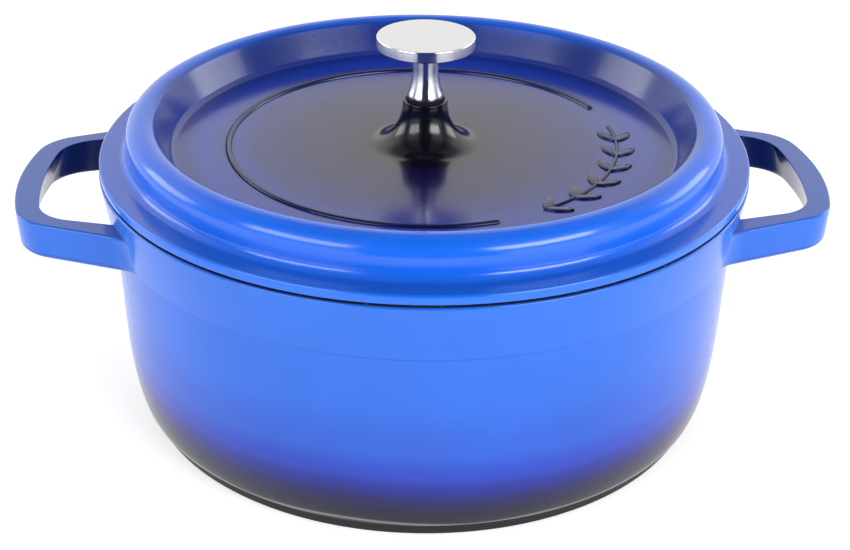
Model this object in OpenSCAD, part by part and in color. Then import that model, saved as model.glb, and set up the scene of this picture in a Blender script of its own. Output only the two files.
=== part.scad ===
// Covered casserole dish: a cast pot with two loop handles, a cast lid
// that lifts off, and a turned steel knob screwed to the lid from below.
// The origin is the middle of the foot on the table, +Z is up and the
// handles lie along X. All sizes are in millimetres.

/* [Overall] */
// Outside diameter of the lid flange
lid_d = 262; // [200:1:330]
// Height of the pot from the table to its rim
pot_h = 105.4; // [80:0.1:150]
// Thickness of the pot wall
wall_t = 4.4; // [3:0.1:7]
// Thickness of the pot floor, measured from the table
floor_t = 8; // [6:0.5:12]

/* [Pot outside] */
// How far the rim stands out past the lid flange
rim_over = 0.3; // [0:0.1:1]
// Rounding of the outer edge of the rim
rim_round = 0.8; // [0.4:0.1:1.5]
// Height of the raised band under the rim
band_h = 22.6; // [18:0.5:32]
// How much narrower the band is at its lower edge
band_taper = 3.4; // [1:0.1:6]
// How far the band stands proud of the wall below it
band_step = 1.1; // [0.5:0.1:2]
// Lean of the wall under the band, in degrees
wall_draft = 2.5; // [1:0.1:6]
// Height at which the wall starts to curve in to the foot
curve_top = 40; // [30:1:48]
// Depth of the curve, measured down the wall
curve_drop = 35.5; // [34.5:0.5:40]
// Depth of the curve, measured across
curve_in = 5.2; // [4:0.1:12]
// Height of the lower edge of the curved wall
lip_z = 6.5; // [5.5:0.1:8]
// How far the foot sits inside the rim
foot_inset = 14.6; // [14:0.1:24]
// Height of the upright side of the foot
foot_h = 4.4; // [3:0.1:5]

/* [Pot inside] */
// How far the inner corner reaches in across the floor
bowl_in = 14; // [8:1:22]
// Bevel on the inner edge of the rim
rim_bevel = 0.6; // [0.3:0.1:1]

/* [Induction disc] */
// Radius of the steel disc let into the base
disc_r = 98; // [80:1:106]
// Thickness of the disc
disc_t = 2; // [1:0.1:3]
// Height of the face of the disc above the table
disc_lift = 0.4; // [0.2:0.1:1]
// Gap around the disc in its pocket
disc_gap = 0.2; // [0.1:0.1:0.5]

/* [Handles] */
// Reach of a handle from the middle of the pot past the rim
handle_out = 34.2; // [28:0.1:46]
// Depth of the top of the handle below the rim
handle_low = 10; // [8:0.1:12]
// Thickness of the handle
handle_t = 14.9; // [12:0.1:18]
// Half width of the handle between its corner centres
handle_half = 24.8; // [20:0.1:34]
// Outer corner radius of the handle
handle_corner = 20; // [14:0.5:22]
// How far the middle of the outer end bows out
handle_bow = 3; // [1:0.1:5]
// Length of the handle sides, from the corner centres into the pot
handle_run = 44; // [36:1:52]
// Spread of the handle sides along that length
handle_spread = 18; // [10:0.5:20]
// Width of the outer bar seen from above
bar_out = 10.4; // [8:0.1:14]
// Width of the side bars at the corners of the finger hole
bar_side = 8.1; // [7:0.1:12]
// Width of the side bars at their roots in the pot wall
bar_root = 13.2; // [8:0.1:16]
// Corner radius of the finger hole
hole_corner = 17; // [8:0.5:18]
// How far the middle of the finger hole bows out
hole_bow = 1.7; // [0:0.1:3]
// How far the end of the finger hole slopes out underneath
hole_draft = 3.8; // [1:0.1:5]
// How far the outer face of the handle leans in underneath
end_lean = 1; // [0.4:0.1:4]
// Radius where the handle sides run into the pot
flare_r = 20; // [10:1:30]

/* [Lid] */
// Thickness of the lid flange
flange_t = 3.8; // [3:0.1:6]
// Height of the seat ring under the flange
seat_h = 1; // [0.6:0.1:2]
// Width of the part of the flange that hangs clear of the rim
seat_inset = 3.6; // [2:0.1:6]
// Thickness of the lid shell
shell_t = 3.4; // [2.5:0.1:4.2]
// Width of the flat ledge and the fillet behind it
ledge_w = 11.05; // [8:0.05:16]
// Fillet between the ledge and the side of the crest
ledge_fillet = 3.5; // [2:0.1:5]
// Rounding of the outer edge of the ledge
edge_round = 0.9; // [0.5:0.1:1.5]
// Radius of the rounded crest
crest_r = 6.75; // [6:0.1:9]
// Height of the crest above the ledge
crest_h = 15.05; // [12:0.1:20]
// Distance from the middle of the crest to its sharp inner edge
crest_in = 4.3; // [3:0.05:5]
// Depth of the panel below the top of the crest
panel_drop = 14.25; // [10:0.1:16]
// Run of the sloping side of the panel
slope_run = 6.6; // [4:0.1:12]
// Fillet at the foot of the slope
slope_fillet = 3; // [1.5:0.1:5]
// Depth of the skirt that centres the lid in the pot
skirt_h = 8; // [5:0.5:12]
// Thickness of the skirt
skirt_t = 3.5; // [2.5:0.1:5]
// Gap between the skirt and the pot at the bottom of the skirt
skirt_gap = 0.8; // [0.4:0.1:1.5]

/* [Lid ornament] */
// Distance of the raised ring from the edge of the panel
ring_inset = 22.8; // [16:0.1:40]
// Radius of the raised ring in section
ring_r = 1.4; // [1:0.1:2]
// Height of the raised ring above the panel
ring_h = 1.1; // [0.6:0.1:1.4]
// Angle at which the ring starts
ring_start = 25; // [0:1:60]
// Angle covered by the ring
ring_sweep = 262; // [200:1:300]
// Number of leaves in each row of the sprig
leaf_n = 6; // [3:1:8]
// Length of a leaf
leaf_l = 11; // [8:0.5:14]
// Width of a leaf
leaf_w = 4; // [3:0.1:6]
// Lean of the leaves away from the stem, in degrees
leaf_lean = 38; // [20:1:60]
// Width of the stem of the sprig
stem_w = 1.4; // [1:0.1:2.5]
// Share of the gap in the ring that the sprig fills
sprig_share = 0.68; // [0.4:0.01:0.8]
// Height of the sprig above the panel
leaf_h = 0.8; // [0.4:0.1:1.2]

/* [Boss] */
// Radius of the top of the boss
boss_top_r = 9; // [8.6:0.1:12]
// Radius of the foot of the boss
boss_foot_r = 23; // [18:0.5:30]
// Height of the boss above the panel
boss_h = 18.4; // [14:0.1:24]
// Rounding of the rim of the boss
boss_round = 0.5; // [0.3:0.1:1]
// Depth of the hollow in the top of the boss
boss_dish = 1; // [0.5:0.1:2]

/* [Knob] */
// Radius of the knob disc
knob_r = 19.6; // [14:0.1:26]
// Thickness of the knob disc
knob_t = 4.5; // [3:0.1:8]
// Height of the knob above the gasket
knob_h = 25.3; // [20:0.1:36]
// Radius of the foot of the stem
stem_foot_r = 7.2; // [6:0.1:9]
// Radius of the waist of the stem
stem_waist_r = 5.1; // [4.5:0.1:6]
// Height of the upright side of the foot of the stem
stem_foot_h = 0.9; // [0.5:0.1:2]
// Height over which the stem narrows
stem_flare_h = 11.5; // [8:0.5:18]
// Fillet under the knob disc
knob_fillet = 2; // [1:0.1:3]
// Bevel on the edges of the knob disc
knob_bevel = 0.4; // [0.2:0.1:0.8]

/* [Fixings] */
// Radius of the screw shank
screw_r = 2.5; // [2:0.1:3]
// Gap between the screw and the thread in the knob
thread_gap = 0.1; // [0.05:0.05:0.2]
// Gap around the screw in the lid, gasket and washers
bore_gap = 0.3; // [0.2:0.05:0.5]
// Length of screw inside the knob
screw_in = 9; // [6:0.5:12]
// Space left above the end of the screw
hole_spare = 1.5; // [0.5:0.5:3]
// Radius of the screw head
head_r = 4.7; // [4:0.1:5.5]
// Height of the screw head
head_h = 3.2; // [2:0.1:4]
// Width of the slots of the cross recess
cross_w = 1.2; // [0.8:0.1:1.6]
// Length of the slots of the cross recess
cross_l = 5.6; // [4:0.1:7]
// Depth of the cross recess
cross_d = 1.8; // [1:0.1:2.4]
// Radius of the flat washer
washer_r = 7.5; // [6:0.1:8]
// Thickness of the flat washer
washer_t = 1; // [0.6:0.1:1.6]
// Thickness of the spring washer
spring_t = 1.3; // [1:0.1:2]
// Width of the split in the spring washer
split_w = 0.8; // [0.5:0.1:1.5]
// Thickness of the gasket
gasket_t = 2.3; // [1.2:0.1:3]
// How far the gasket stands out past the foot of the stem
gasket_over = 0.3; // [0.1:0.1:0.6]
// Gap around the gasket in the boss
gasket_gap = 0.4; // [0.2:0.1:0.8]
// Gap around the flat washer in the counterbore
pocket_gap = 1.5; // [1:0.1:3]
// Depth of the counterbore under the lid
pocket_d = 4.4; // [3:0.1:8]

/* [Hidden] */
// Facets of the turned shapes
round_fn = 72;
// Facets of the handle corners
corner_fn = 32;
// Steps along a curved profile
steps = 12;
// Overrun that keeps cuts clear of faces
over = 1;
// Thickness of a level that a hull joins
level_h = 0.1;

lid_r = lid_d / 2;
rim_r = lid_r + rim_over;
step_z = pot_h - band_h;
band_low_r = rim_r - band_taper;
foot_r = rim_r - foot_inset;
bowl_drop = curve_top - floor_t;

handle_top = pot_h - handle_low;
handle_bottom = handle_top - handle_t;
handle_reach = rim_r + handle_out;
corner_x = handle_reach - handle_corner - handle_bow;
hole_x = handle_reach - bar_out - hole_bow - hole_corner;
root_x = corner_x - handle_run;
hole_half = side_y(hole_x) - bar_side - hole_corner;
hole_root_half = side_y(root_x) - bar_root;

flange_z = pot_h + seat_h;
ledge_z = flange_z + flange_t;
crest_x = lid_r - ledge_w - crest_r;
crest_z = ledge_z + crest_h - crest_r;
edge_x = crest_x - crest_in;
edge_z = crest_z + sqrt(crest_r * crest_r - crest_in * crest_in);
panel_z = ledge_z + crest_h - panel_drop;
panel_r = edge_x - slope_run;
slope_a = atan2(edge_z - panel_z, slope_run);
channel_r = (crest_x - panel_r) * sin(slope_a)
    - (crest_z - panel_z) * cos(slope_a) - shell_t;
under_z = panel_z - shell_t;
under_run = (crest_z + channel_r * cos(slope_a) - under_z) / tan(slope_a);
under_r = crest_x - channel_r * sin(slope_a) - under_run;
fillet_cut = slope_fillet * tan(slope_a / 2);
skirt_r = wall_in(pot_h - skirt_h) - skirt_gap;
seat_r = lid_r - seat_inset;

boss_z = panel_z + boss_h;
gasket_z = boss_z - boss_dish;
gasket_r = stem_foot_r + gasket_over;
knob_z = gasket_z + gasket_t;
knob_top = knob_z + knob_h;
bore_r = screw_r + bore_gap;
pocket_z = under_z + pocket_d;
head_z = pocket_z - washer_t - spring_t;
ring_x = panel_r - ring_inset - ring_r;
sprig_mid = ring_start - (360 - ring_sweep) / 2;
sprig_span = (360 - ring_sweep) * sprig_share;

// Outside radius of the plain wall at height z
function wall_r(z) = band_low_r - band_step - (step_z - z) * tan(wall_draft);

// Inside radius of the wall at height z
function wall_in(z) = wall_r(z) - wall_t;

// Half width of the handle at distance x from the middle of the pot
function side_y(x) = handle_half + handle_corner
    + handle_spread * (corner_x - x) / handle_run;

// Points of an arc about (x, z) with radius r from angle a to angle b
function arc(x, z, r, a, b, n) =
    [for (i = [0:n]) [x + r * cos(a + (b - a) * i / n),
        z + r * sin(a + (b - a) * i / n)]];

// A ring standing on height z
module ring_at(z, h, r, hole) {
    translate([0, 0, z])
        difference() {
            cylinder(h = h, r = r, $fn = round_fn);
            translate([0, 0, -over])
                cylinder(h = h + 2 * over, r = hole, $fn = round_fn);
        }
}

// Outside of the pot without its handles
module pot_outside() {
    lip_a = asin((curve_top - lip_z) / curve_drop);
    curve = [for (i = [0:steps]) let (a = lip_a * (steps - i) / steps,
        z = curve_top - curve_drop * sin(a))
        [wall_r(z) - curve_in * (1 - cos(a)), z]];
    rotate_extrude($fn = round_fn)
        polygon(concat(
            [[0, 0], [foot_r - rim_round, 0], [foot_r, rim_round],
                [foot_r, foot_h]],
            curve,
            [[wall_r(step_z - band_step), step_z - band_step],
                [band_low_r, step_z]],
            arc(rim_r - rim_round, pot_h - rim_round, rim_round, 0, 90, 4),
            [[0, pot_h]]));
}

// Room inside the pot
module pot_inside() {
    curve = [for (i = [0:steps]) let (a = 90 * (steps - i) / steps,
        z = curve_top - bowl_drop * sin(a))
        [wall_in(z) - bowl_in * (1 - cos(a)), z]];
    rotate_extrude($fn = round_fn)
        polygon(concat(
            [[0, floor_t]], curve,
            [[wall_in(pot_h - rim_bevel), pot_h - rim_bevel],
                [wall_in(pot_h) + rim_bevel, pot_h],
                [wall_in(pot_h) + rim_bevel, pot_h + over],
                [0, pot_h + over]]));
}

// Plan of one handle with its flares, run into the pot wall
module handle_plan() {
    offset(r = -flare_r, $fn = round_fn)
        offset(r = flare_r, $fn = round_fn)
            union() {
                circle(r = wall_r(handle_bottom) - 1, $fn = round_fn);
                hull() {
                    for (s = [-1:0.5:1])
                        translate([corner_x + handle_bow * (1 - s * s),
                            s * handle_half])
                            circle(r = handle_corner, $fn = corner_fn);
                    translate([root_x, -side_y(root_x)])
                        square([over, 2 * side_y(root_x)]);
                }
            }
}

// One level of the finger hole, with its end moved out by g
module hole_level(z, g) {
    translate([0, 0, z])
        linear_extrude(height = level_h) {
            for (s = [-1:0.5:1])
                translate([hole_x + g + hole_bow * (1 - s * s), s * hole_half])
                    circle(r = hole_corner, $fn = corner_fn);
            translate([root_x, -hole_root_half])
                square([over, 2 * hole_root_half]);
        }
}

// One loop handle on the +X side
module handle() {
    difference() {
        translate([0, 0, handle_bottom])
            linear_extrude(height = handle_t)
                intersection() {
                    handle_plan();
                    translate([root_x + 2 * over, -lid_r])
                        square([lid_d, lid_d]);
                }
        hull() {
            hole_level(handle_top + over, 0);
            hole_level(handle_bottom - over, hole_draft);
        }
        translate([handle_reach, -lid_r, handle_top])
            rotate([0, 90 + atan2(end_lean, handle_t), 0])
                cube([2 * handle_t, lid_d, 2 * handle_t]);
    }
}

// Cast pot with both handles and the pocket for the disc
module pot_body() {
    color("RoyalBlue")
        difference() {
            union() {
                pot_outside();
                handle();
                mirror([1, 0, 0]) handle();
            }
            pot_inside();
            translate([0, 0, -over])
                cylinder(h = disc_lift + disc_t + over, r = disc_r + disc_gap,
                    $fn = round_fn);
        }
}

// Steel disc bonded into the base for induction hobs
module induction_disc() {
    color("Silver")
        translate([0, 0, disc_lift])
            cylinder(h = disc_t, r = disc_r, $fn = round_fn);
}

// Section of the lid above its underside
module lid_section() {
    boss = [for (i = [1:steps]) let (a = 90 * i / steps)
        [boss_foot_r - (boss_foot_r - boss_top_r) * cos(a),
            boss_z - boss_round - (boss_h - boss_round) * sin(a)]];
    polygon(concat(
        [[0, under_z], [0, boss_z], [boss_top_r - boss_round, boss_z],
            [boss_top_r, boss_z - boss_round]],
        boss,
        arc(panel_r - fillet_cut, panel_z + slope_fillet, slope_fillet,
            -90, slope_a - 90, 5),
        arc(crest_x, crest_z, crest_r, 90 + asin(crest_in / crest_r), 0,
            steps),
        arc(crest_x + crest_r + ledge_fillet, ledge_z + ledge_fillet,
            ledge_fillet, 180, 270, 5),
        arc(lid_r - edge_round, ledge_z - edge_round, edge_round, 90, 0, 3),
        [[lid_r, flange_z + edge_round / 2],
            [lid_r - edge_round / 2, flange_z],
            [seat_r, flange_z], [seat_r, pot_h], [skirt_r, pot_h],
            [skirt_r, pot_h - skirt_h + edge_round],
            [skirt_r - edge_round, pot_h - skirt_h],
            [skirt_r - skirt_t, pot_h - skirt_h],
            [skirt_r - skirt_t, pot_h],
            [crest_x + channel_r, ledge_z]],
        arc(crest_x, crest_z, channel_r, 0, slope_a + 90, 6),
        [[under_r, under_z]]));
}

// One leaf lying along X from the origin
module leaf() {
    bend = (leaf_l * leaf_l + leaf_w * leaf_w) / (4 * leaf_w);
    intersection_for (s = [-1, 1])
        translate([leaf_l / 2, s * (bend - leaf_w / 2)])
            circle(r = bend, $fn = round_fn);
}

// Raised sprig: a curved stem with leaves, across the gap in the ring
module sprig() {
    rotate(sprig_mid - sprig_span / 2)
        rotate_extrude(angle = sprig_span, $fn = round_fn)
            translate([ring_x - stem_w / 2, panel_z - over])
                square([stem_w, leaf_h + over]);
    translate([0, 0, panel_z - over])
        linear_extrude(height = leaf_h + over)
            for (i = [0:leaf_n - 1], s = [-1, 1])
                rotate(sprig_mid + sprig_span * (i / leaf_n - 0.5))
                    translate([ring_x, 0])
                        rotate(90 - s * leaf_lean)
                            leaf();
}

// Cast lid with boss, ring, sprig and centring skirt
module lid() {
    color("MediumBlue")
        difference() {
            union() {
                rotate_extrude($fn = round_fn) lid_section();
                rotate(ring_start)
                    rotate_extrude(angle = ring_sweep, $fn = round_fn)
                        translate([ring_x + ring_r, panel_z + ring_h - ring_r])
                            circle(r = ring_r, $fn = 16);
                sprig();
            }
            translate([0, 0, gasket_z])
                cylinder(h = boss_dish + over, r = gasket_r + gasket_gap,
                    $fn = round_fn);
            translate([0, 0, under_z - over])
                cylinder(h = boss_z - under_z, r = bore_r, $fn = corner_fn);
            translate([0, 0, under_z - over])
                cylinder(h = pocket_d + over, r = washer_r + pocket_gap,
                    $fn = round_fn);
        }
}

// Turned steel knob with a threaded hole in its foot
module knob() {
    waist_z = stem_foot_h + stem_flare_h;
    disc_z = knob_h - knob_t;
    stem = [for (i = [0:steps]) let (t = i / steps)
        [stem_waist_r + (stem_foot_r - stem_waist_r) * (1 - t) * (1 - t),
            stem_foot_h + stem_flare_h * t]];
    color("Gainsboro")
        translate([0, 0, knob_z])
            difference() {
                rotate_extrude($fn = round_fn)
                    polygon(concat(
                        [[0, 0], [stem_foot_r, 0]], stem,
                        arc(stem_waist_r + knob_fillet, disc_z - knob_fillet,
                            knob_fillet, 180, 90, 4),
                        [[knob_r - knob_bevel, disc_z],
                            [knob_r, disc_z + knob_bevel],
                            [knob_r, knob_h - knob_bevel],
                            [knob_r - knob_bevel, knob_h], [0, knob_h]]));
                translate([0, 0, -over])
                    cylinder(h = screw_in + hole_spare + over,
                        r = screw_r + thread_gap, $fn = corner_fn);
            }
}

// Rubber gasket between the knob and the boss
module knob_gasket() {
    color("Black") ring_at(gasket_z, gasket_t, gasket_r, bore_r);
}

// Pan head screw with a cross recess, entered from under the lid
module knob_screw() {
    color("Silver")
        difference() {
            union() {
                translate([0, 0, head_z - head_h])
                    cylinder(h = head_h, r = head_r, $fn = round_fn);
                translate([0, 0, head_z - over])
                    cylinder(h = knob_z + screw_in - head_z + over,
                        r = screw_r, $fn = corner_fn);
            }
            for (turn = [0, 90])
                rotate(turn)
                    translate([-cross_l / 2, -cross_w / 2,
                        head_z - head_h - over])
                        cube([cross_l, cross_w, cross_d + over]);
        }
}

// Flat washer against the lid
module flat_washer() {
    color("LightGray")
        ring_at(pocket_z - washer_t, washer_t, washer_r, bore_r);
}

// Split spring washer under the screw head
module spring_washer() {
    color("DarkGray")
        difference() {
            ring_at(head_z, spring_t, head_r, bore_r);
            translate([0, -split_w / 2, head_z - over])
                cube([head_r + over, split_w, spring_t + 2 * over]);
        }
}

pot_body();
induction_disc();
lid();
knob();
knob_gasket();
knob_screw();
flat_washer();
spring_washer();
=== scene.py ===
"""Looks of a covered casserole dish: enamelled cast pot and lid, steel knob and fixings.

Sizes are in millimetres in the frame's own axes until a mesh is made, when MM turns them
into metres. The pot, lid, knob, gasket and disc are rebuilt as fine smooth meshes of the
same size as their CAD nodes; the screw and washers are the CAD nodes themselves.
"""

import math

import bmesh
import bpy
from mathutils import Matrix, Vector


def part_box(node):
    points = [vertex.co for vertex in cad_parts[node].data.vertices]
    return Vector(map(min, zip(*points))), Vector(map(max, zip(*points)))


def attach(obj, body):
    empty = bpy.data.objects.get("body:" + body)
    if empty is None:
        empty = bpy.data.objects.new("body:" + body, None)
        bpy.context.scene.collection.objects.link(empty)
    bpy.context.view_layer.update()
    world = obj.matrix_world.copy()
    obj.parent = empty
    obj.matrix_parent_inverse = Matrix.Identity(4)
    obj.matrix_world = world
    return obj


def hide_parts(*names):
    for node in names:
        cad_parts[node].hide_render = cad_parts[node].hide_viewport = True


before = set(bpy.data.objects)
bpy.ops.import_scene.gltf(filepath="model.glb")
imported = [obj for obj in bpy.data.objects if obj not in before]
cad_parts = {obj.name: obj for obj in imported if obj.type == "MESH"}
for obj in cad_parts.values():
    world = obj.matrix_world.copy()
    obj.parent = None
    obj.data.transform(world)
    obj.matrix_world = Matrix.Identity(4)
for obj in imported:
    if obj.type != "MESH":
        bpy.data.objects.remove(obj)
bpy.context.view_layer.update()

MM = 0.001


def node_mm(name):
    """Lowest and highest corner of a CAD node, in millimetres."""
    low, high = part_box(name)
    return [v / MM for v in low], [v / MM for v in high]


# ---------------------------------------------------------------- sizes from the frame

pot_high = node_mm("pot_body")[1]
lid_low, lid_high = node_mm("lid")
knob_low, knob_high = node_mm("knob")
gasket_low, gasket_high = node_mm("knob_gasket")
disc_low, disc_high = node_mm("induction_disc")
washer_high = node_mm("flat_washer")[1]

RIM_Z = pot_high[2]
RIM_R = pot_high[1]
LID_R = RIM_R - 0.3
REACH = pot_high[0]

# Pot, outside
RIM_ROUND = 0.8
STEP_Z = RIM_Z - 22.6
BAND_LOW_R = RIM_R - 3.4
STEP = 1.1
WALL_LEAN = math.tan(math.radians(2.5))
CURVE_TOP = 40.0
CURVE_DROP = 35.5
CURVE_IN = 5.2
LIP_Z = 6.5
FOOT_R = RIM_R - 14.6
FOOT_H = 4.4
FOOT_ROUND = 0.8
FOOT_HOLLOW = 0.6
LIP_ROUND = 0.5
STEP_ROUND = 0.35
# Heights that the step's two roundings and the wall below them are shifted by
STEP_NECK = 0.1
STEP_NOSE = 0.25
STEP_START = 0.4
# Depth under the step of the dark line painted there as the step's shadow
STEP_SHADOW_DEPTH = 0.3

# Pot, inside
WALL_T = 4.4
FLOOR_Z = 8.0
BOWL_IN = 14.0
MOUTH_ROUND = 0.6
DISC_POCKET_R = disc_high[0] + 0.2
DISC_POCKET_Z = disc_high[2]
POCKET_BEVEL = 0.3

# Handles
HANDLE_TOP = RIM_Z - 10.0
HANDLE_T = 14.9
HANDLE_HALF = 24.8
HANDLE_CORNER = 20.0
HANDLE_BOW = 3.0
HANDLE_RUN = 44.0
HANDLE_SPREAD = 18.0
BAR_OUT = 10.4
BAR_SIDE = 8.1
BAR_ROOT = 13.2
HOLE_CORNER = 17.0
HOLE_BOW = 1.7
HOLE_DRAFT = 3.8
END_LEAN = 1.0
FLARE_R = 20.0
TOP_ROUND = 0.9
LOW_ROUND = 2.4
# Width of the ring inside each rounding that keeps a handle's flat faces flat
FACE_MARGIN = 0.3
# Share of the edge rounding that the finger hole gets
HOLE_EDGE_SHARE = 0.35
# How deep the flare and the root of the bars start inside the wall
FLARE_SINK = 0.15
ROOT_SINK = 2.2

# Lid
FLANGE_Z = RIM_Z + 1.0
LEDGE_Z = FLANGE_Z + 3.8
EDGE_ROUND = 0.9
LEDGE_FILLET = 3.5
CREST_R = 6.75
CREST_X = LID_R - 11.05 - CREST_R
CREST_Z = LEDGE_Z + 15.05 - CREST_R
CREST_IN = 4.3
CREST_BREAK_IN = 0.25
CREST_BREAK_DOWN = 0.42
PANEL_Z = LEDGE_Z + 15.05 - 14.25
SLOPE_RUN = 6.6
SLOPE_FILLET = 3.0
SHELL_T = 3.4
SEAT_R = LID_R - 3.6
SKIRT_H = RIM_Z - lid_low[2]
SKIRT_T = 3.5
SKIRT_GAP = 0.8
SKIRT_ROUND = 0.9
FLANGE_ROUND = 0.45
BOSS_TOP_R = 9.0
BOSS_FOOT_R = 23.0
BOSS_Z = lid_high[2]
BOSS_ROUND = 0.5
DISH_R = gasket_high[0] + 0.4
DISH_Z = gasket_low[2]
BORE_R = 2.8
POCKET_R = washer_high[0] + 1.5
POCKET_Z = washer_high[2]
POCKET_EDGE = 0.4

# Raised ring and sprig on the panel
RING_INSET = 22.8
RING_TUBE = 1.4
RING_H = 1.1
RING_START = 25.0
RING_SWEEP = 262.0
LEAF_N = 6
LEAF_L = 11.0
LEAF_W = 4.0
LEAF_LEAN = 38.0
LEAF_H = 0.8
STEM_W = 1.4
SPRIG_SHARE = 0.68
# Height over the panel and share of the width at each level of a leaf
LEAF_ROWS = [(-0.3, 1.0), (0.45, 1.0), (0.68, 0.86), (LEAF_H, 0.5)]
LEAF_STEPS = 14
RING_STEPS = 220
STEM_STEPS = 60

# Knob
KNOB_R = knob_high[0]
KNOB_Z = knob_low[2]
KNOB_TOP = knob_high[2]
KNOB_T = 4.5
STEM_FOOT_R = 7.2
STEM_WAIST_R = 5.1
STEM_FOOT_H = 0.9
STEM_FLARE_H = 11.5
STEM_BEVEL = 0.25
STEM_STEPS_UP = 24
KNOB_FILLET = 2
KNOB_BEVEL = 0.4
KNOB_HOLE_R = 2.6
KNOB_HOLE_H = 10.5

# Gasket and induction disc
GASKET_ROUND = 0.4
DISC_ROUND = 0.5
DIMPLE_R = 3
DISC_RINGS = (30.0, 62.0)
DISC_RING_TUBE = 0.7

# Faces round a turned part, steps along its curves and the angle, in degrees, of a sharp edge
ROUND = 256
CURVE_STEPS = 32
SHARP_EDGE = 32.0


# ---------------------------------------------------------------- mesh helpers


def arc(x, z, r, start, end, count=8):
    """Points of an arc, angles in degrees."""
    turn = [math.radians(start + (end - start) * i / count) for i in range(count + 1)]
    return [(x + r * math.cos(t), z + r * math.sin(t)) for t in turn]


def hold(points, longest=2.5, near=0.06):
    """The same profile with a point close to each end of its long straight runs.

    The extra rings keep flat faces flat when the corners beside them are shaded smooth.
    """
    held = [points[0]]
    for (r0, z0), (r1, z1) in zip(points, points[1:]):
        run = math.hypot(r1 - r0, z1 - z0)
        if run > longest:
            for t in (near / run, 1 - near / run):
                held.append((r0 + (r1 - r0) * t, z0 + (z1 - z0) * t))
        held.append((r1, z1))
    return held


def wall_r(z):
    """Outside radius of the plain wall at height z."""
    return BAND_LOW_R - STEP - (STEP_Z - z) * WALL_LEAN


def outside_r(z):
    """Outside radius of the pot beside the handles: plain wall below the step, band above."""
    if z < STEP_Z:
        return wall_r(z)
    return BAND_LOW_R + (RIM_R - BAND_LOW_R) * (z - STEP_Z) / (RIM_Z - STEP_Z)


def finish_mesh(bm, name, body, nodes, materials):
    """Turns a bmesh in millimetres into a smooth-shaded object that stands for its nodes."""
    bmesh.ops.remove_doubles(bm, verts=bm.verts, dist=0.0005)
    bmesh.ops.recalc_face_normals(bm, faces=bm.faces)
    limit = math.radians(SHARP_EDGE)
    for face in bm.faces:
        face.smooth = True
    for edge in bm.edges:
        edge.smooth = len(edge.link_faces) == 2 and edge.calc_face_angle(0) < limit
    bmesh.ops.scale(bm, vec=(MM, MM, MM), verts=bm.verts)
    mesh = bpy.data.meshes.new(name)
    bm.to_mesh(mesh)
    bm.free()
    for material in materials:
        mesh.materials.append(material)
    piece = bpy.data.objects.new(name, mesh)
    bpy.context.scene.collection.objects.link(piece)
    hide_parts(*nodes)
    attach(piece, body)
    return piece


def add_revolve(bm, strips, closed=True):
    """Turns a profile about Z. strips is a list of (material index, points).

    A closed profile is joined back to its start, an open one runs from axis to axis.
    """
    points = []
    index = []
    for slot, strip in strips:
        start = points[-1:]
        for point in hold(start + strip)[len(start):]:
            if not points or math.dist(points[-1], point) > 1e-4:
                points.append(point)
                index.append(slot)
    rings = []
    for r, z in points:
        if r < 1e-6:
            rings.append([bm.verts.new((0, 0, z))])
            continue
        ring = []
        for i in range(ROUND):
            a = 2 * math.pi * i / ROUND
            ring.append(bm.verts.new((r * math.cos(a), r * math.sin(a), z)))
        rings.append(ring)
    last = len(rings) if closed else len(rings) - 1
    for k in range(last):
        low, high = rings[k], rings[(k + 1) % len(rings)]
        slot = index[(k + 1) % len(rings)]
        for i in range(ROUND):
            j = (i + 1) % ROUND
            if len(low) == 1:
                face = bm.faces.new((low[0], high[i], high[j]))
            elif len(high) == 1:
                face = bm.faces.new((low[i], high[0], low[j]))
            else:
                face = bm.faces.new((low[i], low[j], high[j], high[i]))
            face.material_index = slot


def add_tube(bm, path, radius, slot):
    """A round bar along a path of points, closed by domed ends."""
    sides = 16
    domes = 5
    path = [Vector(p) for p in path]
    rings = []

    def ring_at(centre, forward, size):
        across = forward.cross(Vector((0, 0, 1))).normalized()
        up = across.cross(forward).normalized()
        turn = [2 * math.pi * i / sides for i in range(sides)]
        rings.append([bm.verts.new(centre + size * (math.cos(t) * across + math.sin(t) * up))
                      for t in turn])

    head = (path[1] - path[0]).normalized()
    tail = (path[-1] - path[-2]).normalized()
    for i in range(1, domes):
        t = math.pi / 2 * i / domes
        ring_at(path[0] - head * radius * math.cos(t), head, radius * math.sin(t))
    for i, point in enumerate(path):
        before = path[max(0, i - 1)]
        after = path[min(len(path) - 1, i + 1)]
        ring_at(point, (after - before).normalized(), radius)
    for i in range(domes - 1, 0, -1):
        t = math.pi / 2 * i / domes
        ring_at(path[-1] + tail * radius * math.cos(t), tail, radius * math.sin(t))
    for low, high in zip(rings, rings[1:]):
        for i in range(sides):
            j = (i + 1) % sides
            bm.faces.new((low[i], low[j], high[j], high[i])).material_index = slot
    for ring, tip in ((rings[0], path[0] - head * radius), (rings[-1], path[-1] + tail * radius)):
        point = bm.verts.new(tip)
        for i in range(sides):
            bm.faces.new((ring[i], ring[(i + 1) % sides], point)).material_index = slot


# ---------------------------------------------------------------- shader helpers


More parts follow.
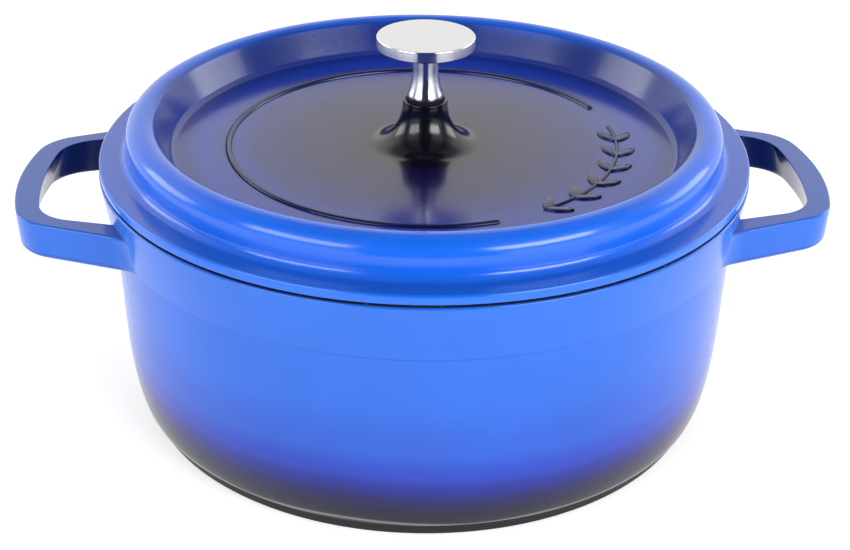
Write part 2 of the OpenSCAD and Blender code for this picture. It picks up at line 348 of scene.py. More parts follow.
class Nodes:
    """Builds one node material, or fills the tree it is given, with short calls."""

    def __init__(self, name, tree=None):
        if tree is not None:
            self.tree = tree
            return
        self.material = bpy.data.materials.new(name)
        self.material.use_nodes = True
        self.tree = self.material.node_tree
        self.shader = self.tree.nodes["Principled BSDF"]
        self.place = self.add("ShaderNodeTexCoord").outputs["Object"]

    def add(self, kind, **values):
        node = self.tree.nodes.new(kind)
        for key, value in values.items():
            setattr(node, key, value)
        return node

    def link(self, source, target):
        self.tree.links.new(source, target)

    def put(self, socket, value):
        """Links an output to a socket, or sets a constant on it."""
        if hasattr(value, "links"):
            self.link(value, socket)
        else:
            socket.default_value = value

    def math(self, operation, a, b=0.0):
        node = self.add("ShaderNodeMath", operation=operation)
        for socket, value in zip(node.inputs, (a, b)):
            self.put(socket, value)
        return node.outputs[0]

    def split(self):
        """X, Y and Z of the place on the object, in metres."""
        return self.split_vector(self.place)

    def split_vector(self, vector):
        node = self.add("ShaderNodeSeparateXYZ")
        self.link(vector, node.inputs[0])
        return node.outputs

    def radius(self):
        """Distance from the Z axis, in metres."""
        x, y, _ = self.split()
        return self.math("SQRT", self.math("ADD", self.math("MULTIPLY", x, x),
                                           self.math("MULTIPLY", y, y)))

    def facing_up(self):
        """1 on level tops, 0 on slopes steeper than 45 degrees."""
        facing = self.add("ShaderNodeNewGeometry").outputs["Normal"]
        return self.remap(self.split_vector(facing)[2], 0.7, 1.0, 0.0, 1.0)

    def ramp(self, value, stops, low, high):
        """Colours at places along value, from low to high."""
        spread = self.add("ShaderNodeMapRange")
        self.put(spread.inputs["Value"], value)
        spread.inputs["From Min"].default_value = low
        spread.inputs["From Max"].default_value = high
        node = self.add("ShaderNodeValToRGB")
        node.color_ramp.interpolation = "EASE"
        self.link(spread.outputs[0], node.inputs[0])
        ramp = node.color_ramp.elements
        while len(ramp) < len(stops):
            ramp.new(0.5)
        for element, (at, colour) in zip(ramp, stops):
            element.position = (at - low) / (high - low)
            element.color = (*colour, 1)
        return node.outputs[0]

    def noise(self, scale, detail=2.0, rough=0.5, vector=None):
        node = self.add("ShaderNodeTexNoise")
        self.link(vector or self.place, node.inputs["Vector"])
        node.inputs["Scale"].default_value = scale
        node.inputs["Detail"].default_value = detail
        node.inputs["Roughness"].default_value = rough
        return node.outputs["Fac"]

    def remap(self, value, low, high, to_low, to_high):
        node = self.add("ShaderNodeMapRange")
        self.put(node.inputs["Value"], value)
        for socket, number in zip(node.inputs[1:5], (low, high, to_low, to_high)):
            socket.default_value = number
        return node.outputs[0]

    def mix(self, share, a, b, blend="MIX"):
        node = self.add("ShaderNodeMix", data_type="RGBA", blend_type=blend)
        self.put(node.inputs[0], share)
        for socket, value in zip((node.inputs[6], node.inputs[7]), (a, b)):
            if isinstance(value, tuple):
                value = (*value, 1)
            self.put(socket, value)
        return node.outputs[2]

    def bump(self, height, distance, strength=1.0, after=None):
        node = self.add("ShaderNodeBump")
        node.inputs["Strength"].default_value = strength
        node.inputs["Distance"].default_value = distance
        self.put(node.inputs["Height"], height)
        if after is not None:
            self.link(after, node.inputs["Normal"])
        return node.outputs[0]

    def set(self, **values):
        names = {"colour": "Base Color", "metal": "Metallic", "rough": "Roughness", "ior": "IOR",
                 "coat": "Coat Weight", "coat_rough": "Coat Roughness", "normal": "Normal",
                 "level": "Specular IOR Level", "aniso": "Anisotropic"}
        for key, value in values.items():
            self.put(self.shader.inputs[names[key]], value)
        return self.material


# Duller blue mixed onto level tops: painted shade for how the light falls on them
TOP_SHADE_BLUE = (0.014, 0.088, 0.430)
ENAMEL_ROUGH = 0.16


def enamel_surface(n, colour, ior=1.5):
    """Baked enamel: faint orange peel, a trace of mottling and fine specks in the gloss."""
    mottle = n.noise(22.0, 3.0)
    speck = n.noise(900.0, 2.0, 0.6)
    tone = n.remap(mottle, 0.3, 0.7, 0.95, 1.05)
    shade = n.add("ShaderNodeCombineColor")
    for socket in shade.inputs[:3]:
        n.link(tone, socket)
    tinted = n.mix(1.0, colour, shade.outputs[0], "MULTIPLY")
    peel = n.bump(n.noise(260.0, 1.0), 0.00006, 0.3)
    grain = n.bump(speck, 0.00002, 0.2, peel)
    gloss = n.remap(speck, 0.35, 0.65, ENAMEL_ROUGH - 0.03, ENAMEL_ROUGH + 0.04)
    return n.set(colour=tinted, rough=gloss, ior=ior, normal=grain)


def pot_enamel():
    """Blue enamel that shades through violet to black at the foot, with painted shade dulling the
    flat tops, a painted highlight at the lip and a painted shadow line under the step.
    """
    n = Nodes("pot_enamel")
    z = n.split()[2]
    waver = n.remap(n.noise(9.0, 2.0), 0.3, 0.7, -0.0016, 0.0016)
    height = n.math("ADD", z, waver)
    colour = n.ramp(height, [
        (0.0000, (0.004, 0.004, 0.006)),
        (0.0058, (0.002, 0.002, 0.004)),
        # Pale band at the lip: a painted highlight along its edge
        (0.0063, (0.160, 0.160, 0.175)),
        (0.0070, (0.160, 0.160, 0.175)),
        (0.0077, (0.002, 0.002, 0.008)),
        (0.012, (0.002, 0.002, 0.025)),
        (0.018, (0.004, 0.004, 0.080)),
        (0.024, (0.005, 0.012, 0.220)),
        (0.031, (0.009, 0.042, 0.410)),
        (0.042, (0.013, 0.086, 0.520)),
        (0.065, (0.014, 0.118, 0.600)),
        (0.106, (0.014, 0.130, 0.630))], 0.0, 0.106)
    # Dark line under the step: a painted shadow
    off_step = n.math("ABSOLUTE", n.math("SUBTRACT", z, (STEP_Z - STEP_SHADOW_DEPTH) * MM))
    colour = n.mix(n.remap(off_step, 0.0003, 0.0006, 0.55, 0.0), colour, (0.02, 0.03, 0.20))
    # Level tops dulled as painted shade
    colour = n.mix(n.facing_up(), colour, TOP_SHADE_BLUE)
    return enamel_surface(n, colour, 1.46)


def lid_enamel():
    """Blue enamel, charcoal inside the raised ring, black on the boss, with painted shade dulling
    the ledge top.
    """
    n = Nodes("lid_enamel")
    waver = n.remap(n.noise(11.0, 2.0), 0.3, 0.7, -0.0012, 0.0012)
    out = n.math("ADD", n.radius(), waver)
    colour = n.ramp(out, [
        (0.000, (0.003, 0.003, 0.008)),
        (0.023, (0.003, 0.003, 0.008)),
        (0.030, (0.006, 0.003, 0.045)),
        (0.050, (0.008, 0.006, 0.080)),
        (0.066, (0.010, 0.012, 0.160)),
        (0.080, (0.012, 0.032, 0.300)),
        (0.091, (0.011, 0.042, 0.400)),
        (0.100, (0.009, 0.030, 0.260)),
        (0.107, (0.008, 0.030, 0.230)),
        (0.112, (0.008, 0.125, 0.740)),
        (0.131, (0.008, 0.135, 0.760))], 0.0, 0.131)
    # The ledge top is dulled as painted shade
    ledge_top_shade = n.math("MULTIPLY", n.facing_up(), n.remap(out, 0.119, 0.122, 0.0, 0.55))
    colour = n.mix(ledge_top_shade, colour, TOP_SHADE_BLUE)
    return enamel_surface(n, colour)


def navy_and_painted_shade():
    """Dark navy: the raised ornament's own colour, and painted shade on the hole sides and
    undersides of the handles.
    """
    n = Nodes("navy_and_painted_shade")
    cloud = n.noise(35.0, 3.0)
    colour = n.ramp(cloud, [(0.3, (0.004, 0.006, 0.050)), (0.7, (0.005, 0.010, 0.085))], 0.3, 0.7)
    return enamel_surface(n, colour)


def nonstick():
    """Dark stoneware non-stick lining with pale specks."""
    n = Nodes("nonstick")
    speck = n.noise(520.0, 1.0, 0.3)
    fleck = n.remap(speck, 0.66, 0.72, 0.0, 1.0)
    base = n.ramp(n.noise(60.0, 3.0), [
        (0.3, (0.022, 0.022, 0.026)),
        (0.7, (0.034, 0.034, 0.040))], 0.3, 0.7)
    colour = n.mix(fleck, base, (0.16, 0.16, 0.17))
    normal = n.bump(speck, 0.00004, 0.4)
    return n.set(colour=colour, rough=n.remap(speck, 0.3, 0.7, 0.38, 0.5), normal=normal)


def machined_rings(name, colour, pitch, rough):
    """Bare metal with fine turned rings about the Z axis."""
    n = Nodes(name)
    out = n.radius()
    groove = n.math("SINE", n.math("MULTIPLY", out, 2 * math.pi / pitch))
    across = n.add("ShaderNodeCombineXYZ")
    n.link(out, across.inputs[0])
    streak = n.noise(2600.0, 2.0, 0.7, across.outputs[0])
    shade = n.ramp(streak, [(0.25, tuple(c * 0.82 for c in colour)), (0.75, colour)], 0.25, 0.75)
    ridge = n.bump(groove, 0.00001, 0.3)
    normal = n.bump(streak, 0.000012, 0.35, ridge)
    return n.set(colour=shade, metal=1.0, rough=n.remap(streak, 0.3, 0.7, rough, rough + 0.12),
                 normal=normal)


def polished_steel():
    """Turned and polished stainless steel: fine marks round the axis stretch its glints."""
    n = Nodes("polished_steel")
    z = n.split()[2]
    level = n.add("ShaderNodeCombineXYZ")
    n.link(z, level.inputs[2])
    turned = n.noise(2400.0, 2.0, 0.6, level.outputs[0])
    smear = n.noise(60.0, 3.0)
    colour = n.ramp(smear, [(0.3, (0.84, 0.84, 0.85)), (0.7, (0.92, 0.92, 0.92))], 0.3, 0.7)
    around = n.add("ShaderNodeTangent", direction_type="RADIAL", axis="Z")
    n.link(around.outputs[0], n.shader.inputs["Tangent"])
    n.shader.inputs["Anisotropic Rotation"].default_value = 0.25
    return n.set(colour=colour, metal=1.0, rough=n.remap(smear, 0.3, 0.7, 0.17, 0.21),
                 aniso=0.9, normal=n.bump(turned, 0.000004, 0.2))


def brushed_top():
    """The brushed face of the knob: straight fine grain."""
    n = Nodes("brushed_top")
    x, y, _ = n.split()
    grain_place = n.add("ShaderNodeCombineXYZ")
    n.link(n.math("MULTIPLY", x, 14.0), grain_place.inputs[0])
    n.link(n.math("MULTIPLY", y, 900.0), grain_place.inputs[1])
    grain = n.noise(6.0, 3.0, 0.6, grain_place.outputs[0])
    colour = n.ramp(grain, [(0.3, (0.58, 0.58, 0.57)), (0.7, (0.66, 0.66, 0.65))], 0.3, 0.7)
    return n.set(colour=colour, metal=1.0, rough=n.remap(grain, 0.3, 0.7, 0.26, 0.36),
                 normal=n.bump(grain, 0.00001, 0.25))


def rubber():
    """Matt black rubber."""
    n = Nodes("gasket_rubber")
    fine = n.noise(1500.0, 2.0)
    colour = n.ramp(fine, [(0.3, (0.003, 0.003, 0.003)), (0.7, (0.007, 0.007, 0.007))], 0.3, 0.7)
    return n.set(colour=colour, rough=n.remap(fine, 0.3, 0.7, 0.6, 0.7), level=0.25,
                 normal=n.bump(fine, 0.00002, 0.3))


def plated_steel():
    """Zinc plated steel of the screw and washers."""
    n = Nodes("plated_steel")
    cloud = n.noise(400.0, 3.0, 0.6)
    colour = n.ramp(cloud, [(0.3, (0.48, 0.48, 0.50)), (0.7, (0.60, 0.60, 0.60))], 0.3, 0.7)
    return n.set(colour=colour, metal=1.0, rough=n.remap(cloud, 0.3, 0.7, 0.25, 0.4),
                 normal=n.bump(cloud, 0.00001, 0.2))


# ---------------------------------------------------------------- the pot


def pot_strips():
    """Profile of the pot, round the foot, up the outside and down into the bowl."""
    lip = math.asin((CURVE_TOP - LIP_Z) / CURVE_DROP)
    curve = []
    for i in range(CURVE_STEPS + 1):
        a = lip * (1 - i / CURVE_STEPS)
        z = CURVE_TOP - CURVE_DROP * math.sin(a)
        curve.append((wall_r(z) - CURVE_IN * (1 - math.cos(a)), z))
    bowl_drop = CURVE_TOP - FLOOR_Z
    bowl = []
    for i in range(CURVE_STEPS + 1):
        a = math.pi / 2 * i / CURVE_STEPS
        z = CURVE_TOP - bowl_drop * math.sin(a)
        bowl.append((wall_r(z) - WALL_T - BOWL_IN * (1 - math.cos(a)), z))
    rim_in = wall_r(RIM_Z) - WALL_T
    base = [(0, DISC_POCKET_Z), (DISC_POCKET_R, DISC_POCKET_Z), (DISC_POCKET_R, POCKET_BEVEL),
            (DISC_POCKET_R + POCKET_BEVEL, 0), (FOOT_R - FOOT_ROUND, 0)]
    lip_edge = arc(curve[0][0] - LIP_ROUND, curve[0][1] + 0.1, LIP_ROUND, -70, -15, 4)
    foot = arc(FOOT_R - FOOT_ROUND, FOOT_ROUND, FOOT_ROUND, -90, 0, 5) \
        + [(FOOT_R, FOOT_H - FOOT_HOLLOW)] \
        + arc(FOOT_R + FOOT_HOLLOW, FOOT_H - FOOT_HOLLOW, FOOT_HOLLOW, 180, 110, 4)
    step_r, step_z = wall_r(STEP_Z - STEP), STEP_Z - STEP
    side = lip_edge + curve[1:] + [(step_r - 0.02, step_z - STEP_START)] \
        + arc(step_r + STEP_ROUND, step_z + STEP_NECK, STEP_ROUND, 180, 110, 3) \
        + arc(BAND_LOW_R - STEP_ROUND, STEP_Z + STEP_NOSE, STEP_ROUND, -55, -8, 3) \
        + arc(RIM_R - RIM_ROUND, RIM_Z - RIM_ROUND, RIM_ROUND, 0, 90, 7)
    rim = arc(rim_in + MOUTH_ROUND, RIM_Z - MOUTH_ROUND, MOUTH_ROUND, 90, 180, 5)
    return [(1, base), (0, foot), (0, side), (2, rim), (2, bowl), (2, [(0, FLOOR_Z)])]


CORNER_X = REACH - HANDLE_CORNER - HANDLE_BOW
ROOT_X = CORNER_X - HANDLE_RUN


def side_y(x):
    """Half width of a handle at distance x from the middle of the pot."""
    return HANDLE_HALF + HANDLE_CORNER + HANDLE_SPREAD * (CORNER_X - x) / HANDLE_RUN


HOLE_X = REACH - BAR_OUT - HOLE_BOW - HOLE_CORNER
HOLE_HALF = side_y(HOLE_X) - BAR_SIDE - HOLE_CORNER


def side_angle(root_y, x, half, corner):
    """Heading of the normal of a straight side that runs from the root onto a corner."""
    along = math.atan2(half - root_y, x - ROOT_X)
    return along + math.asin(corner / math.hypot(x - ROOT_X, half - root_y)) + math.pi / 2


def rounded_end(lean, x, half, corner, bow):
    """Corner and bowed end of an outline from its side to its middle, as (x, y, heading)."""
    turned = math.atan(2 * bow / half)
    centres = [(x, half, lean + (turned - lean) * i / 14) for i in range(15)]
    for i in range(1, 11):
        s = 1 - i / 10
        centres.append((x + bow * (1 - s * s), half * s, math.atan(2 * bow * s / half)))
    return [(cx + corner * math.cos(a), cy + corner * math.sin(a), a) for cx, cy, a in centres]


def handle_outline(wall):
    """Half of the handle's plan, y > 0, as (outer path, hole path), each from the wall out.

    The flare is a fillet that meets the round wall where its radius is wall. Every point
    is (x, y, heading), with the heading pointing out of the metal.
    """
    lean = side_angle(side_y(ROOT_X), CORNER_X, HANDLE_HALF, HANDLE_CORNER)
    end = rounded_end(lean, CORNER_X, HANDLE_HALF, HANDLE_CORNER, HANDLE_BOW)
    bury = wall - FLARE_SINK
    line = end[0][0] * math.cos(lean) + end[0][1] * math.sin(lean)
    flare_a = lean - math.acos((line + FLARE_R) / (bury + FLARE_R))
    flare_x = (bury + FLARE_R) * math.cos(flare_a)
    flare_y = (bury + FLARE_R) * math.sin(flare_a)
    outer = []
    for i in range(25):
        a = flare_a + (lean - flare_a) * i / 24
        outer.append((flare_x - FLARE_R * math.cos(a), flare_y - FLARE_R * math.sin(a), a))
    root_half = side_y(ROOT_X) - BAR_ROOT
    hole_lean = side_angle(root_half, HOLE_X, HOLE_HALF, HOLE_CORNER)
    corner = rounded_end(hole_lean, HOLE_X, HOLE_HALF, HOLE_CORNER, HOLE_BOW)
    run = Vector((corner[0][0] - ROOT_X, corner[0][1] - root_half)).normalized()
    start = Vector((ROOT_X, root_half))
    along = run.dot(start)
    start += run * (math.sqrt(along ** 2 - start.length_squared + (wall - ROOT_SINK) ** 2) - along)
    hole = [(start.x, start.y, hole_lean + math.pi)]
    hole += [(x, y, a + math.pi) for x, y, a in corner]
    return outer + end, hole


def add_cap(bm, ring, edge, slot):
    """Flat face of a handle, laid between its outer path and the path of its hole."""
    last = len(ring) - 1
    spare = (edge - (last + 1 - edge)) // 2

    def across(k):
        return last - min(max(0, k - spare), last - edge)

    for k in range(edge - 1):
        near, far = ring[across(k)], ring[across(k + 1)]
        corners = [ring[k], ring[k + 1], far] if near is far else [ring[k], ring[k + 1], far, near]
        bm.faces.new(corners).material_index = slot


def add_handle(bm, side, slot, shade):
    """One loop handle: its plan carried down with rounded edges, side is 1 or -1."""
    bottom = HANDLE_TOP - HANDLE_T
    top_arc = arc(0, HANDLE_TOP - TOP_ROUND, TOP_ROUND, 90, 0, 5)
    low_arc = arc(0, bottom + LOW_ROUND, LOW_ROUND, 0, -90, 7)
    levels = [(HANDLE_TOP, TOP_ROUND + FACE_MARGIN)] + [(z, TOP_ROUND - x) for x, z in top_arc]
    levels += [(z, LOW_ROUND - x) for x, z in low_arc] + [(bottom, LOW_ROUND + FACE_MARGIN)]
    rings = []
    for z, inset in levels:
        outer, hole = handle_outline(outside_r(z))
        path = outer + [(x, -y, -a) for x, y, a in reversed(outer[:-1])]
        edge = len(path)
        path += list(reversed(hole + [(x, -y, -a) for x, y, a in reversed(hole[:-1])]))
        down = (HANDLE_TOP - z) / HANDLE_T
        ring = []
        for i, (x, y, heading) in enumerate(path):
            move = inset
            if i >= edge:
                move *= HOLE_EDGE_SHARE
                x += HOLE_DRAFT * down * max(0.0, x - ROOT_X) / (HOLE_X + HOLE_CORNER - ROOT_X)
            elif x > CORNER_X:
                x -= END_LEAN * down * (x - CORNER_X) / (REACH - CORNER_X)
            x -= move * math.cos(heading)
            y -= move * math.sin(heading)
            ring.append(bm.verts.new((side * x, side * y, z)))
        rings.append(ring)
    count = len(rings[0])
    for k, (high, low) in enumerate(zip(rings, rings[1:])):
        for i in range(count):
            j = (i + 1) % count
            face = bm.faces.new((high[i], high[j], low[j], low[i]))
            # Hole sides below the top edge take the shade slot: painted shade
            face.material_index = shade if i >= edge and k >= len(top_arc) // 2 else slot
    add_cap(bm, rings[0], edge, slot)
    add_cap(bm, rings[-1], edge, shade)


def build_pot(enamel, base, lining, navy_and_shade):
    """Pot with both handles. The hole sides and undersides of the handles get the dark navy as
    painted shade.
    """
    bm = bmesh.new()
    add_revolve(bm, pot_strips(), closed=False)
    for side in (1, -1):
        add_handle(bm, side, 0, 3)
    pot = finish_mesh(bm, "pot_casting", "pot", ["pot_body"],
                      [enamel, base, lining, navy_and_shade])


# ---------------------------------------------------------------- the lid


def lid_strips():
    """Profile of the lid, over the top from the boss to the rim and back underneath."""
    edge = (CREST_X - CREST_IN, CREST_Z + math.sqrt(CREST_R ** 2 - CREST_IN ** 2))
    slope = math.degrees(math.atan2(edge[1] - PANEL_Z, SLOPE_RUN))
    slope_r = math.radians(slope)
    panel_r = edge[0] - SLOPE_RUN
    cut = SLOPE_FILLET * math.tan(slope_r / 2)
    channel = ((CREST_X - panel_r) * math.sin(slope_r)
               - (CREST_Z - PANEL_Z) * math.cos(slope_r) - SHELL_T)
    under_z = PANEL_Z - SHELL_T
    meet = (CREST_Z + channel * math.cos(slope_r) - under_z) / math.tan(slope_r)
    under_r = CREST_X - channel * math.sin(slope_r) - meet
    skirt_r = wall_r(RIM_Z - SKIRT_H) - WALL_T - SKIRT_GAP
    boss = []
    rise = BOSS_Z - PANEL_Z - BOSS_ROUND
    for i in range(1, 25):
        a = math.radians(90 * i / 24)
        boss.append((BOSS_FOOT_R - (BOSS_FOOT_R - BOSS_TOP_R) * math.cos(a),
                     BOSS_Z - BOSS_ROUND - rise * math.sin(a)))
    dish = [(BORE_R, DISH_Z), (DISH_R, DISH_Z), (DISH_R, BOSS_Z - 0.25),
            (DISH_R + 0.15, BOSS_Z - 0.05)]
    top = arc(BOSS_TOP_R - BOSS_ROUND, BOSS_Z - BOSS_ROUND, BOSS_ROUND, 90, 0, 5) + boss \
        + arc(panel_r - cut, PANEL_Z + SLOPE_FILLET, SLOPE_FILLET, -90, slope - 90, 8) \
        + [(edge[0] - CREST_BREAK_IN, edge[1] - CREST_BREAK_DOWN)] \
        + arc(CREST_X, CREST_Z, CREST_R, 90 + math.degrees(math.asin(CREST_IN / CREST_R)) - 3,
              0, 28) \
        + arc(CREST_X + CREST_R + LEDGE_FILLET, LEDGE_Z + LEDGE_FILLET, LEDGE_FILLET, 180, 270,
              8) \
        + arc(LID_R - EDGE_ROUND, LEDGE_Z - EDGE_ROUND, EDGE_ROUND, 90, 0, 6) \
        + arc(LID_R - FLANGE_ROUND, FLANGE_Z + FLANGE_ROUND, FLANGE_ROUND, 0, -90, 4)
    skirt_z = RIM_Z - SKIRT_H + SKIRT_ROUND
    seat = [(SEAT_R, FLANGE_Z), (SEAT_R, RIM_Z), (skirt_r, RIM_Z)] \
        + arc(skirt_r - SKIRT_ROUND, skirt_z, SKIRT_ROUND, 0, -90, 4) \
        + arc(skirt_r - SKIRT_T + SKIRT_ROUND, skirt_z, SKIRT_ROUND, -90, -180, 4)
    under = [(skirt_r - SKIRT_T, RIM_Z), (CREST_X + channel, LEDGE_Z)] \
        + arc(CREST_X, CREST_Z, channel, 0, slope + 90, 10) \
        + [(under_r, under_z), (POCKET_R + POCKET_EDGE, under_z),
           (POCKET_R, under_z + POCKET_EDGE), (POCKET_R, POCKET_Z), (BORE_R, POCKET_Z)]
    return [(0, dish), (0, top), (1, seat), (1, under)], panel_r


def add_leaf(bm, base, heading, slot):
    """One raised leaf with a softly domed top, from base along heading (radians)."""
    bend = (LEAF_L ** 2 + LEAF_W ** 2) / (4 * LEAF_W)
    along = Vector((math.cos(heading), math.sin(heading), 0))
    across = Vector((-math.sin(heading), math.cos(heading), 0))
    rings = []
    for z, grow in LEAF_ROWS:
        ring = []
        for sign in (1, -1):
            for i in range(LEAF_STEPS):
                u = (i if sign == 1 else LEAF_STEPS - i) / LEAF_STEPS
                d = (u - 0.5) * LEAF_L
                half = math.sqrt(max(bend ** 2 - d ** 2, 0)) - (bend - LEAF_W / 2)
                point = base + along * (LEAF_L / 2 + d * (0.9 + 0.1 * grow)) \
                    + across * (sign * half * grow)
                ring.append(bm.verts.new((point.x, point.y, PANEL_Z + z)))
        rings.append(ring)
    count = len(rings[0])
    for low, high in zip(rings, rings[1:]):
        for i in range(count):
            j = (i + 1) % count
            bm.faces.new((low[i], low[j], high[j], high[i])).material_index = slot
    bm.faces.new(rings[0]).material_index = slot
    bm.faces.new(rings[-1]).material_index = slot


def add_ornament(bm, panel_r, slot):
    """The open raised ring and the sprig of leaves that fills its gap."""
    ring_x = panel_r - RING_INSET - RING_TUBE

    def on_ring(r, degrees, z):
        a = math.radians(degrees)
        return Vector((r * math.cos(a), r * math.sin(a), z))

    add_tube(bm, [on_ring(ring_x + RING_TUBE, RING_START + RING_SWEEP * i / RING_STEPS,
                          PANEL_Z + RING_H - RING_TUBE) for i in range(RING_STEPS + 1)],
             RING_TUBE, slot)
    middle = RING_START - (360 - RING_SWEEP) / 2
    span = (360 - RING_SWEEP) * SPRIG_SHARE
    start = middle - span / 2
    add_tube(bm, [on_ring(ring_x, start + span * i / STEM_STEPS, PANEL_Z + LEAF_H - STEM_W / 2)
                  for i in range(STEM_STEPS + 1)], STEM_W / 2, slot)
    for i in range(LEAF_N):
        at = start + span * i / LEAF_N
        for s in (-1, 1):
            add_leaf(bm, on_ring(ring_x, at, 0), math.radians(at + 90 - s * LEAF_LEAN), slot)


def build_lid(enamel, lining, navy_and_shade):
    """Lid with its raised ring and sprig."""
    bm = bmesh.new()
    strips, panel_r = lid_strips()
    add_revolve(bm, strips)
    add_ornament(bm, panel_r, 2)
    lid = finish_mesh(bm, "lid_casting", "lid", ["lid"], [enamel, lining, navy_and_shade])


# ---------------------------------------------------------------- knob and small parts


def build_knob(polished, brushed):
    """Turned knob: flared stem, disc with a brushed face and softened edges."""
    disc_z = KNOB_TOP - KNOB_T
    stem = []
    for i in range(STEM_STEPS_UP + 1):
        t = i / STEM_STEPS_UP
        stem.append((STEM_WAIST_R + (STEM_FOOT_R - STEM_WAIST_R) * (1 - t) ** 2,
                     KNOB_Z + STEM_FOOT_H + STEM_FLARE_H * t))
    side = [(KNOB_HOLE_R, KNOB_Z), (STEM_FOOT_R - STEM_BEVEL, KNOB_Z),
            (STEM_FOOT_R, KNOB_Z + STEM_BEVEL)] + stem \
        + arc(STEM_WAIST_R + KNOB_FILLET, disc_z - KNOB_FILLET, KNOB_FILLET, 180, 90, 10) \
        + arc(KNOB_R - KNOB_BEVEL, disc_z + KNOB_BEVEL, KNOB_BEVEL, -90, 0, 5) \
        + arc(KNOB_R - KNOB_BEVEL, KNOB_TOP - KNOB_BEVEL, KNOB_BEVEL, 0, 70, 5)
    face = [(KNOB_R - 0.45, KNOB_TOP), (0, KNOB_TOP)]
    hole = [(KNOB_HOLE_R, KNOB_Z)]
    bottom = [(0, KNOB_Z + KNOB_HOLE_H), (KNOB_HOLE_R, KNOB_Z + KNOB_HOLE_H)]
    bm = bmesh.new()
    add_revolve(bm, [(0, bottom), (0, hole), (0, side), (1, face)], closed=False)
    knob = finish_mesh(bm, "knob_turned", "lid", ["knob"], [polished, brushed])


def build_gasket(material):
    """Rubber ring between boss and knob, with a rounded outer edge."""
    low, high = gasket_low[2], gasket_high[2]
    out = gasket_high[0]
    section = arc(out - GASKET_ROUND, low + GASKET_ROUND, GASKET_ROUND, -90, 0, 4) \
        + arc(out - GASKET_ROUND, high - GASKET_ROUND, GASKET_ROUND, 0, 90, 4)
    bm = bmesh.new()
    add_revolve(bm, [(0, [(BORE_R, low)] + section + [(BORE_R, high)])])
    gasket = finish_mesh(bm, "gasket_ring", "lid", ["knob_gasket"], [material])


def build_disc(material):
    """Induction disc with a softened edge, two shallow rings and a centre dimple."""
    low, high, out = disc_low[2], disc_high[2], disc_high[0]
    face = [(0, low + DISC_ROUND)] + arc(DIMPLE_R, low + DISC_ROUND, DISC_ROUND, 180, 270, 3)[1:]
    for r in DISC_RINGS:
        face += arc(r, low, DISC_RING_TUBE, 180, 0, 8)
    face += arc(out - DISC_ROUND, low + DISC_ROUND, DISC_ROUND, -90, 0, 5)
    bm = bmesh.new()
    add_revolve(bm, [(0, face), (0, [(out, high), (0, high)])], closed=False)
    disc = finish_mesh(bm, "base_disc", "pot", ["induction_disc"], [material])


def dress_fixings(material):
    """The screw and washers keep their CAD shape and get a zinc plated finish."""
    for name in ("knob_screw", "flat_washer", "spring_washer"):
        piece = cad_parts[name]
        piece.data.materials.clear()
        piece.data.materials.append(material)


pot_blue = pot_enamel()
lid_blue = lid_enamel()
lining = nonstick()
navy_and_shade = navy_and_painted_shade()
build_pot(pot_blue, machined_rings("machined_foot", (0.30, 0.30, 0.31), 0.0009, 0.3), lining,
          navy_and_shade)
build_lid(lid_blue, lining, navy_and_shade)
build_knob(polished_steel(), brushed_top())
build_gasket(rubber())
build_disc(machined_rings("disc_steel", (0.55, 0.55, 0.55), 0.0011, 0.28))
dress_fixings(plated_steel())


# ---------------------------------------------------------------- stage, light and camera

# Metres from the middle of the rim to each softbox
SOFTBOX_AWAY = 1.6
FLOOR_R = 9.0
FLOOR_GLOW = 0.46

# Camera, in metres, millimetres of lens and degrees
CAMERA_AWAY = 0.6302
CAMERA_UP = 0.3827
CAMERA_TURN = 2.9
CAMERA_AIM = 0.082
CAMERA_PITCH = 27.905
CAMERA_ROLL = 0.803
CAMERA_LENS = 71.05
SENSOR_WIDTH = 36.0


def grey(value):
    return (value, value, value)


def add_stage(bm, name, material):
    """Puts a mesh that isn't part of the dish into the scene."""
    mesh = bpy.data.meshes.new(name)
    bm.to_mesh(mesh)
    bm.free()
    mesh.materials.append(material)
    piece = bpy.data.objects.new(name, mesh)
    bpy.context.scene.collection.objects.link(piece)
    return piece


def build_floor():
    """Pale floor that glows a little, so that it stays white round the dish."""
    bm = bmesh.new()
    bmesh.ops.create_circle(bm, cap_ends=True, segments=96, radius=FLOOR_R)
    n = Nodes("floor_paper")
    tone = n.ramp(n.noise(3.0, 2.0), [(0.3, grey(0.90)), (0.7, grey(0.92))], 0.3, 0.7)
    n.set(colour=tone, rough=0.9, level=0.0)
    n.put(n.shader.inputs["Emission Color"], (1, 1, 1, 1))
    n.put(n.shader.inputs["Emission Strength"], FLOOR_GLOW)
    add_stage(bm, "floor", n.material)


def build_world():
    """White studio: bright backdrop and side panels, a dark gap at the front, a dim ceiling."""
    world = bpy.data.worlds.new("studio")
    bpy.context.scene.world = world
    world.use_nodes = True
    n = Nodes("studio", world.node_tree)
    place = n.add("ShaderNodeTexCoord").outputs["Generated"]
    x, y, z = n.split_vector(place)
    level = n.math("SQRT", n.math("ADD", n.math("MULTIPLY", x, x), n.math("MULTIPLY", y, y)))
    ahead = n.math("DIVIDE", y, n.math("MAXIMUM", level, 0.001))
    round_about = n.ramp(ahead, [
        (-1.0, grey(0.04)), (-0.92, grey(0.04)), (-0.86, grey(0.9)), (-0.45, grey(0.9)),
        (-0.15, grey(0.3)), (0.15, grey(0.7)), (0.40, grey(1.3)), (1.0, grey(1.3))], -1.0, 1.0)
    upward = n.ramp(z, [(0.0, grey(1.0)), (0.6, grey(1.0)), (0.8, grey(0.3)),
                        (1.0, grey(0.2))], 0.0, 1.0)
    back = n.tree.nodes["Background"]
    n.link(n.mix(1.0, round_about, upward, "MULTIPLY"), back.inputs["Color"])
    back.inputs["Strength"].default_value = 1.0


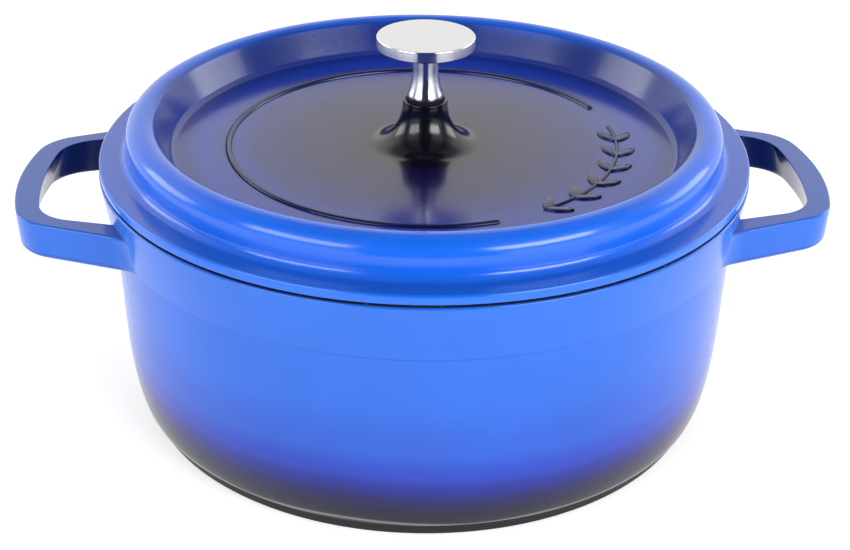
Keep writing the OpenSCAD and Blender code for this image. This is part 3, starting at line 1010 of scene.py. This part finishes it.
def add_softbox(name, azimuth, elevation, width, height, radiance):
    """Area light aimed at the dish. Azimuth 0 is on the camera's side, 90 on the right."""
    a, e = math.radians(azimuth), math.radians(elevation)
    aim = Vector((0, 0, RIM_Z * MM))
    away = Vector((math.sin(a) * math.cos(e), -math.cos(a) * math.cos(e), math.sin(e)))
    light = bpy.data.lights.new(name, "AREA")
    light.shape = "RECTANGLE"
    light.size = width
    light.size_y = height
    light.energy = radiance * math.pi * width * height
    lamp = bpy.data.objects.new(name, light)
    lamp.location = aim + away * SOFTBOX_AWAY
    lamp.rotation_mode = "QUATERNION"
    lamp.rotation_quaternion = away.to_track_quat("Z", "Y")
    bpy.context.scene.collection.objects.link(lamp)


def add_flag(ahead, width, height):
    """Black card in front of the dish, seen by no camera, that only darkens its glints."""
    bm = bmesh.new()
    corners = [(-width / 2, -ahead, 0.001), (width / 2, -ahead, 0.001),
               (width / 2, -ahead, height), (-width / 2, -ahead, height)]
    bm.faces.new([bm.verts.new(corner) for corner in corners])
    n = Nodes("flag_felt")
    felt = n.ramp(n.noise(300.0, 2.0), [(0.3, grey(0.004)), (0.7, grey(0.008))], 0.3, 0.7)
    flag = add_stage(bm, "flag", n.set(colour=felt, rough=0.95, level=0.0))
    flag.visible_camera = False
    flag.visible_diffuse = False
    flag.visible_shadow = False


def build_camera():
    """Camera at the angle of a product shot, a little to the left of square on."""
    turn = math.radians(CAMERA_TURN)
    pitch = math.radians(CAMERA_PITCH)
    aim = turn + math.radians(CAMERA_AIM)
    roll = math.radians(CAMERA_ROLL)
    forward = Vector((math.sin(aim) * math.cos(pitch), math.cos(aim) * math.cos(pitch),
                      -math.sin(pitch)))
    right = Vector((math.cos(aim), -math.sin(aim), 0))
    up = right.cross(forward)
    cam_x = right * math.cos(roll) + up * math.sin(roll)
    cam_y = up * math.cos(roll) - right * math.sin(roll)
    data = bpy.data.cameras.new("camera")
    data.sensor_width = SENSOR_WIDTH
    data.lens = CAMERA_LENS
    data.clip_start = 0.01
    camera = bpy.data.objects.new("camera", data)
    place = Matrix((cam_x, cam_y, -forward)).transposed().to_4x4()
    place.translation = Vector((-CAMERA_AWAY * math.sin(turn), -CAMERA_AWAY * math.cos(turn),
                                CAMERA_UP))
    camera.matrix_world = place
    bpy.context.scene.collection.objects.link(camera)
    bpy.context.scene.camera = camera


build_floor()
build_world()
add_softbox("softbox_left", -48, 21, 1.05, 0.5, 5.5)
add_softbox("softbox_right", 40, 21, 1.05, 0.5, 9.0)
add_softbox("side_left", -108, 15, 0.8, 0.5, 3.6)
add_softbox("side_right", 108, 15, 0.8, 0.5, 3.6)
add_flag(0.42, 0.34, 0.16)
build_camera()
bpy.context.scene.view_settings.view_transform = "Standard"
